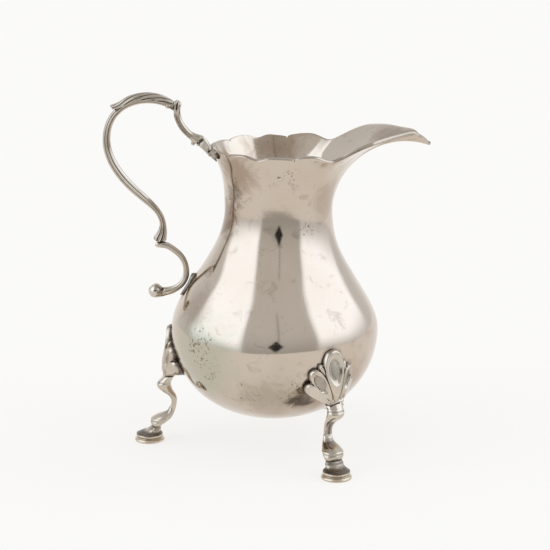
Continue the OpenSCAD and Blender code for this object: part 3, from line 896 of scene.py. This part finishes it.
def make_plate():
    s = np.linspace(-1, 1, 41)
    z = lower_seat_z + plate_half_h * s
    half = plate_half_w * np.sqrt(np.maximum(0.05, 1 - np.abs(s) ** 3))
    near, far = body_r(z) + solder, body_r(z) + plate_thick * (1 + 0.9 * ease(s))
    ring = []
    for share, side in plate_outline:
        r, y = mix(near, far, share), half * side
        ring.append(np.stack([forward(z) - np.sqrt(r * r - y * y), y, z], -1))
    # the plate is darkened all over as painted shade with grime
    cast_piece("handle_seat_plate", np.stack(ring, 1), "handle_solder_plate", crease=0.6)


# ---------- legs ----------

# Each leg: its side, its angle from the lip and the sideways lean of its foot
LEGS = (
    ("back", 180.0, 0.0),
    ("right", -front_leg_angle, -front_leg_lean),
    ("left", front_leg_angle, front_leg_lean),
)
shell_spread, shell_root_half = 79.0, 1.9
seam_tilt = {"back": 0.0, "right": 0.24, "left": -0.24}
scoop_depth = 0.62
# Each petal of a shell: its angle from upright, length, half-span in degrees, drop and scoop
PETALS = [
    (0, shell_h - 0.4, 23, 0, scoop_depth),
    (-33, 11.4, 20, 0.05, scoop_depth), (33, 11.4, 20, 0.05, scoop_depth),
    (-57, 9.3, 22, 0, 0), (57, 9.3, 22, 0, 0), (-20, 11.8, 9, 0.5, 0), (20, 11.8, 9, 0.5, 0),
]


def petal_reach(a, at, length, span):
    """Reach of a petal's outline in a direction."""
    return length * np.sqrt(np.maximum(0, 1 - (np.abs(a - at) / span) ** 2.4))


def shell_reach(a):
    return np.max([petal_reach(a, *petal[:3]) for petal in PETALS], axis=0)


def shell_relief(a, r):
    """Height of the petals over the shell's own thickness, and the painted shade with grime between them
    and in their scoops.
    """
    best, nearest = np.full(a.shape, -9.0), np.zeros(a.shape)
    scoops = np.zeros(a.shape)
    for at, length, span, drop, scoop in PETALS:
        share = clamp01(r / length)
        reach = petal_reach(a, at, length, span)
        edge = span * np.maximum(0, 1 - share**2) ** (1 / 2.4)
        side = np.maximum(r * np.radians(edge - np.abs(a - at)), 0) + 1e-6
        tip = np.maximum(reach - r, 0) * 0.85 + 1e-6
        inset = 1 / np.sqrt(1 / side**2 + 1 / tip**2)
        oval = np.hypot((share - 0.61) / 0.28, (a - at) / (0.68 * edge + 0.01))
        hole = ease((1.05 - oval) / 0.45) * scoop
        height = -0.75 * (1 - ease(inset / 0.6)) ** 1.5 - drop - hole + 0.1 * bump_at(inset, 0.55, 0.25)
        scoops = np.where(height > best, hole / scoop_depth, scoops)
        best = np.maximum(best, height)
        nearest = np.maximum(nearest, inset)
    return best, np.maximum(1 - ease(nearest / 0.32), 0.42 * scoops**2)


def joint_tilt(u, side):
    """The casting's seam is not quite level: it climbs towards the jug's outside."""
    return seam_tilt[side] * u


def make_shell(side, angle):
    a = np.linspace(-shell_spread, shell_spread, 261)
    v = np.concatenate([np.linspace(0, 0.985, 84), [1.0]])
    a, v = np.meshgrid(a, v, indexing="ij")
    r = v * shell_reach(a)
    start_x = shell_root_half * a / shell_spread
    start_z = leg_joint_z + solder + joint_tilt(start_x, side)
    end_x, end_z = shell_reach(a) * sind(a), leg_joint_z + solder + shell_reach(a) * cosd(a)
    x, z = mix(start_x, end_x, v), mix(start_z, end_z, v)
    turn = np.degrees(x / belly_r)
    near = body_r(z) + 0.02 + forward(z) * cosd(angle)
    root = leg_joint_r + shell_out - body_r(leg_joint_z)
    whole = mix(shell_h, 9.2, np.abs(a) / 75)
    full = mix(1.05 + 0.2 * (np.abs(a) / shell_spread) ** 2, root, clamp01(1 - r / whole) ** 1.4)
    relief, grime_and_shade = shell_relief(a, r)
    relief = relief * ease((r - 0.2) / 1.8)
    at_edge = v == 1
    thick = np.where(at_edge, 0.1, np.maximum(0.35, full + relief))
    far = near + thick
    front = np.stack([far * cosd(turn), far * sind(turn), z], -1)
    up = 1.1 * (1 - v) ** 2
    low = near + body_r(z + up) - body_r(z)
    back = np.stack([low * cosd(turn), low * sind(turn), z + up], -1)
    # painted shade with grime between the petals, in the scoops, along the edge, at the root and all over
    # the back against the body
    grime_and_shade = np.maximum(grime_and_shade * ease((r - 0.3) / 1.5), np.where(at_edge, 0.9, 0.0))
    grime_and_shade = np.maximum(grime_and_shade, 0.9 * ease((0.35 - r) / 0.3))
    rings = np.concatenate([front, back[:, ::-1]], 1)
    crease = np.concatenate([grime_and_shade, 0 * grime_and_shade + 1], 1)
    cast_piece(side + "_shell", rings, side + "_leg_shell", crease=crease, angle=angle)


# Each height of a leg, from 0 at the pad to 1 at the joint: its middle's distance outward
# from the joint, and its half-widths outward and sideways
leg_stations = [
    [0, pad_out, pad_r - 0.5, pad_r - 0.5], [0.035, pad_out - 0.5, 2.8, 2.9],
    [0.07, pad_out - 1.3, 1.9, 2.65], [0.11, pad_out - 1.8, 1.35, 2.65],
    [0.16, pad_out - 2.2, 1.8, 2.8], [0.2, pad_out - 2.6, 2.3, 2.95],
    [0.26, pad_out - 3.4, 2.75, 2.9], [0.31, 1.5, 2.4, 2.5], [0.355, 0.2, 1.5, 1.9],
    [0.42, -0.6, 1.1, 1.4], [0.52, -1.1, 0.95, 1.2], [0.6, -1.1, 1.05, 1.3],
    [0.66, -0.6, 1.25, 1.6], [0.72, 0.4, 1.6, 2.1], [0.78, 1.2, 1.95, 2.45],
    [0.83, 1.5, 2.05, 2.5], [0.88, 1.35, 1.95, 2.45], [0.94, 0.6, 1.7, 2.3], [1, -0.2, 1.5, 2.3],
]


def make_leg(side, angle, lean):
    s = np.linspace(0, 1, 241)
    z = mix(pad_h + 0.02, leg_joint_z + 0.02, s)
    mid, half_x, half_y = (smooth_table([[q[0], q[k]] for q in leg_stations], s) for k in (1, 2, 3))
    ss, aa = np.meshgrid(s, np.arange(80) * 360 / 80, indexing="ij")
    front = from_angle(aa, 0)
    channel = bump_at(front, 0, 48) * ease((ss - 0.43) / 0.05) * ease((0.75 - ss) / 0.07)
    cheek = bump_at(front, 64, 16) * ease((ss - 0.42) / 0.05) * ease((0.76 - ss) / 0.07)
    hollow = bump_at(ss, 0.385, 0.04) * bump_at(front, 0, 62)
    neck = bump_at(ss, 0.885, 0.012) * bump_at(front, 0, 110)
    toe = bump_at(ss, 0.262, 0.016) * bump_at(front, 0, 120)
    under_toe = bump_at(ss, 0.228, 0.012) * bump_at(front, 0, 120)
    band = bump_at(ss, 0.135, 0.022)
    ring = bump_at(ss, 0.088, 0.014)
    nick = bump_at(ss, 0.475, 0.01) * bump_at(from_angle(aa, 290), 0, 40)
    lift = -0.46 * channel + 0.12 * cheek - 0.3 * hollow - 0.13 * neck + 0.16 * toe - 0.1 * under_toe
    lift = lift - 0.16 * band + 0.17 * ring - 0.12 * nick
    # painted shade with grime: darker in the front channel, the hollows, the bands and the neck, near the
    # pad and at the joint
    crease = np.max([
        0.95 * channel, 0.85 * hollow, 0.6 * bump_at(ss, 0.112, 0.035), 0.7 * neck, 0.95 * band,
        0.5 * under_toe, 0.8 * nick, 0.85 * ease((0.07 - ss) / 0.03), 0.9 * ease((ss - 0.985) / 0.01),
    ], axis=0)
    rings = np.stack([
        leg_joint_r + mid[:, None] + (half_x[:, None] + lift) * cosd(aa),
        (lean * (1 - s) ** 1.4)[:, None] + (half_y[:, None] + lift) * sind(aa),
        np.tile(z[:, None], (1, aa.shape[1])),
    ], -1)
    rings[..., 2] += joint_tilt(rings[..., 1], side) * ease((ss - 0.9) / 0.1)
    cast_piece(side + "_cabriole", rings, side + "_leg", crease=crease, angle=angle)


# Outline of a foot pad: radius and height, from its underside up
pad_profile = [
    [pad_r - 0.2, 0], [pad_r, 0.2], [pad_r, 0.22 * pad_h], [pad_r - 0.1, 0.33 * pad_h],
    [pad_r - 0.3, 0.43 * pad_h], [pad_r - 0.6, 0.5 * pad_h], [pad_r - 0.7, 0.56 * pad_h],
    [pad_r - 0.65, 0.64 * pad_h], [pad_r - 0.45, 0.72 * pad_h], [pad_r - 0.45, 0.86 * pad_h],
    [pad_r - 0.6, pad_h],
]


def make_pad(side, angle, lean):
    path = np.array([[pad_r - 1.2, 0]] + pad_profile + [[pad_r - 1.6, pad_h]])
    reach = np.concatenate([[0], np.cumsum(np.linalg.norm(np.diff(path, axis=0), axis=1))])
    s = np.linspace(0, reach[-1], 81)
    r, z = np.interp(s, reach, path[:, 0]), np.interp(s, reach, path[:, 1])
    for _ in range(2):
        for values in (r, z):
            values[1:-1] = 0.25 * values[:-2] + 0.5 * values[1:-1] + 0.25 * values[2:]
    a = np.arange(96) * 360 / 96
    centre = [leg_joint_r + pad_out, lean]
    x, y = centre[0] + r[:, None] * cosd(a), centre[1] + r[:, None] * sind(a)
    rings = np.stack([x, y, np.tile(z[:, None], (1, len(a)))], -1)
    share = z / pad_h
    # painted shade with grime in the pad's groove and on its top
    grime_and_shade = np.maximum(bump_at(share, 0.61, 0.06), 0.75 * ease((share - 0.9) / 0.08))
    piece(
        side + "_foot_pad", rings, "pad_silver", [side + "_leg_pad"], PAD_PAINTED_PALE, crease=grime_and_shade[:, None],
        first=centre + [0], last=centre + [pad_h], angle=angle, deep=0.2,
    )


def seam_grime_and_shade(p):
    """Share of painted shade with old grime on the body, just outside the shells and the plate."""
    total = np.zeros(p.shape[:-1])
    uneven = 0.25 * ripple(p, 11, 2.2)

    def line(gap, width):
        return bump_at(np.maximum(gap + uneven, 0), 0, width)

    for _, angle, _ in LEGS:
        local = turned(p, -angle)
        u = np.arctan2(local[..., 1], local[..., 0]) * belly_r
        w = local[..., 2] - leg_joint_z
        gap = np.hypot(u, w) - shell_reach(np.degrees(np.arctan2(u, w)))
        total = np.maximum(total, line(gap, 0.55) * ease((w + 3) / 2))
    u, w = p[..., 1], p[..., 2] - lower_seat_z
    gap = np.maximum(np.abs(u) - plate_half_w, np.abs(w) - plate_half_h)
    return np.maximum(total, line(gap, 0.7) * (p[..., 0] < 0))


# Dents of the hammered sheet: depth and breadth in millimetres, and the seed of their places
DENTS = ((0.06, 17, 5), (0.026, 7, 6))


def make_body():
    beside = np.array([-0.7, -0.35, -0.12, 0.12, 0.35, 0.7])
    cusps = [-cusp_back, -cusp_near, cusp_front, cusp_back]
    angles = np.concatenate([np.arange(-180, 180, 1.25)] + [cusp + beside for cusp in cusps])
    angles = np.unique(np.round(angles, 4))
    low = np.linspace(0.02, 1, 36) ** 0.9
    levels = np.concatenate([low, 1 + np.arange(1, 45) / 44, 2 + np.arange(1, 41) / 40])
    b, s = np.meshgrid(angles, levels)
    t = np.maximum(0, s - 2)
    s = np.where(s > 2, 2 + t - rim_cut(b) * t**4, s)
    out = body_surface(b, s)
    way = body_way(b, s)
    dent = sum(depth * ripple(out, seed, breadth) for depth, breadth, seed in DENTS)
    out = out + dent[..., None] * way * ease(s / 0.4)[..., None]
    thick = mix(wall, rim_wall, ease((s - 2.7) / 0.3))
    inner = out - thick[..., None] * way
    edge_up = out[-1] - out[-2]
    edge_up /= np.linalg.norm(edge_up, axis=-1, keepdims=True)
    rows = []
    for turn in (25, 50, 75, 105, 130, 155):  # the rounded edge, from the outside to the inside
        across = (1 - cosd(turn)) / 2
        rows.append(mix(out[-1], inner[-1], across) + 0.22 * rim_wall * sind(turn) * edge_up)
    rings = np.concatenate([out, rows, inner[::-1]])
    crease = np.zeros(rings.shape[:2])
    # painted shade with grime round the shells and the plate; the rounded rim edge is darkened too, most
    # along the lip
    crease[: len(out)] = seam_grime_and_shade(out)
    crease[len(out) : len(out) + len(rows)] = 0.35 + 0.3 * lipness(angles)
    piece(
        "body_vessel", rings, "raised_silver", ["body"], RAISED,
        first=[0, 0, belly_clear], last=[0, 0, belly_clear + wall], crease=crease, deep=1.0,
    )


make_body()
make_main_scroll()
make_leaf_cap()
make_upper_scroll()
make_bracket()
make_lower_scroll()
make_plate()
for side, angle, lean in LEGS:
    make_shell(side, angle)
    make_leg(side, angle, lean)
    make_pad(side, angle, lean)

# ---------- floor and world ----------

# Half-width of the table top, and the reach of its rounded front and far edge, in metres
TABLE_SIDE, TABLE_FRONT, TABLE_BACK = 0.40, 0.315, 4.0
# Share of the floor's own pale colour in what the camera and the silver see
FLOOR_SELF_LIT = 0.8


def make_floor():
    """A pale table top. Its rounded front lies outside the view, and the jug reflects it."""
    mesh = bpy.data.meshes.new("floor")
    turn = np.linspace(-90, 90, 61)
    corners = list(zip(TABLE_SIDE * sind(turn), -TABLE_FRONT * cosd(turn)))
    corners += [(TABLE_SIDE, TABLE_BACK), (-TABLE_SIDE, TABLE_BACK)]
    mesh.from_pydata([(x, y, 0) for x, y in corners], [], [list(range(len(corners)))])
    floor = bpy.data.objects.new("floor", mesh)
    material = bpy.data.materials.new("floor_white")
    material.use_nodes = True
    shader = material.node_tree.nodes["Principled BSDF"]
    shader.inputs["Base Color"].default_value = (0.97, 0.925, 0.855, 1)
    shader.inputs["Roughness"].default_value = 0.9
    shader.inputs["Specular IOR Level"].default_value = 0.1
    tree = material.node_tree
    bright = node(tree, "ShaderNodeEmission", {"Color": (0.965, 0.955, 0.94, 1), "Strength": 1.0})
    path = node(tree, "ShaderNodeLightPath").outputs
    seen = math_node(tree, "MAXIMUM", path["Is Camera Ray"], path["Is Glossy Ray"])
    seen = math_node(tree, "MAXIMUM", seen, path["Is Transmission Ray"])
    share = math_node(tree, "MULTIPLY", seen, FLOOR_SELF_LIT)
    both = node(tree, "ShaderNodeMixShader", {0: share, 1: shader.outputs[0], 2: bright.outputs[0]})
    tree.links.new(both.outputs[0], tree.nodes["Material Output"].inputs["Surface"])
    mesh.materials.append(material)
    bpy.context.scene.collection.objects.link(floor)


def make_world():
    """A plain studio: grey room in front, a large soft light on each side, white behind."""
    world = bpy.data.worlds.new("studio")
    bpy.context.scene.world = world
    world.use_nodes = True
    tree = world.node_tree
    tree.nodes.clear()
    way = node(tree, "ShaderNodeSeparateXYZ", {0: node(tree, "ShaderNodeTexCoord").outputs["Generated"]})
    x, y, z = way.outputs
    azimuth = math_node(tree, "ARCTAN2", x, math_node(tree, "MULTIPLY", y, -1.0))
    height = math_node(tree, "ARCSINE", z)

    def patch(value, low, high, soft):
        """1 between two angles in degrees, with soft edges."""
        rise = ramp(tree, value, math.radians(low - soft), math.radians(low + soft))
        fall = ramp(tree, value, math.radians(high - soft), math.radians(high + soft), 1.0, 0.0)
        return math_node(tree, "MULTIPLY", rise, fall)

    def level(low, high, to_low=0.0, to_high=1.0):
        """A smooth step between two heights over the horizon, in degrees."""
        return ramp(tree, height, math.radians(low), math.radians(high), to_low, to_high)

    def away(value, centre, reach):
        off = math_node(tree, "SUBTRACT", value, math.radians(centre))
        return math_node(tree, "DIVIDE", math_node(tree, "ABSOLUTE", off), math.radians(reach))

    white, high_back = (0.955, 0.955, 0.95, 1), (0.74, 0.76, 0.78, 1)
    wall_grey, ceiling = (0.80, 0.83, 0.86, 1), (0.58, 0.6, 0.62, 1)
    front_low, front_high = (0.42, 0.43, 0.425, 1), (0.725, 0.74, 0.735, 1)
    softbox, dark = (1.62, 1.79, 1.99, 1), (0.03, 0.03, 0.03, 1)
    back = blend_colour(tree, level(12, 34), white, high_back)
    tone = blend_colour(tree, patch(azimuth, -140, 150, 12), back, wall_grey)
    front = blend_colour(tree, level(-30, 38), front_low, front_high)
    tone = blend_colour(tree, patch(azimuth, -34, 47, 3), tone, front)
    # each softbox: its two sides, their softness, and the heights between which it brightens
    for low, high, soft, foot, full in ((-104, -38, 5, -12, 18), (51, 124, 6, -8, 20)):
        lit = times(tree, patch(azimuth, low, high, soft), level(foot, full), level(54, 68, 1.0, 0.0))
        tone = blend_colour(tree, lit, tone, softbox)
    tone = blend_colour(tree, level(58, 76), tone, ceiling)
    # dark edges of the softboxes, and a thin upright post in front
    for low, high, foot, top, soft, share in (
        (-35.8, -34.2, -8, 46, 1.2, 0.3), (47.2, 48.8, -8, 46, 1.2, 0.3), (3.0, 4.6, 10, 46, 1.0, 0.6)
    ):
        line = times(tree, patch(azimuth, low, high, soft), patch(height, foot, top, soft), share)
        tone = blend_colour(tree, line, tone, dark)
    # a dark diamond, as of a camera on its stand
    stand = math_node(tree, "ADD", away(azimuth, 1.2, 9.5), away(height, 9, 14))
    tone = blend_colour(tree, ramp(tree, stand, 0.75, 1.0, 1.0, 0.0), tone, dark)
    room = node(tree, "ShaderNodeBackground", {"Color": tone, "Strength": 1.0})
    node(tree, "ShaderNodeOutputWorld", {"Surface": room.outputs[0]})


make_floor()
make_world()
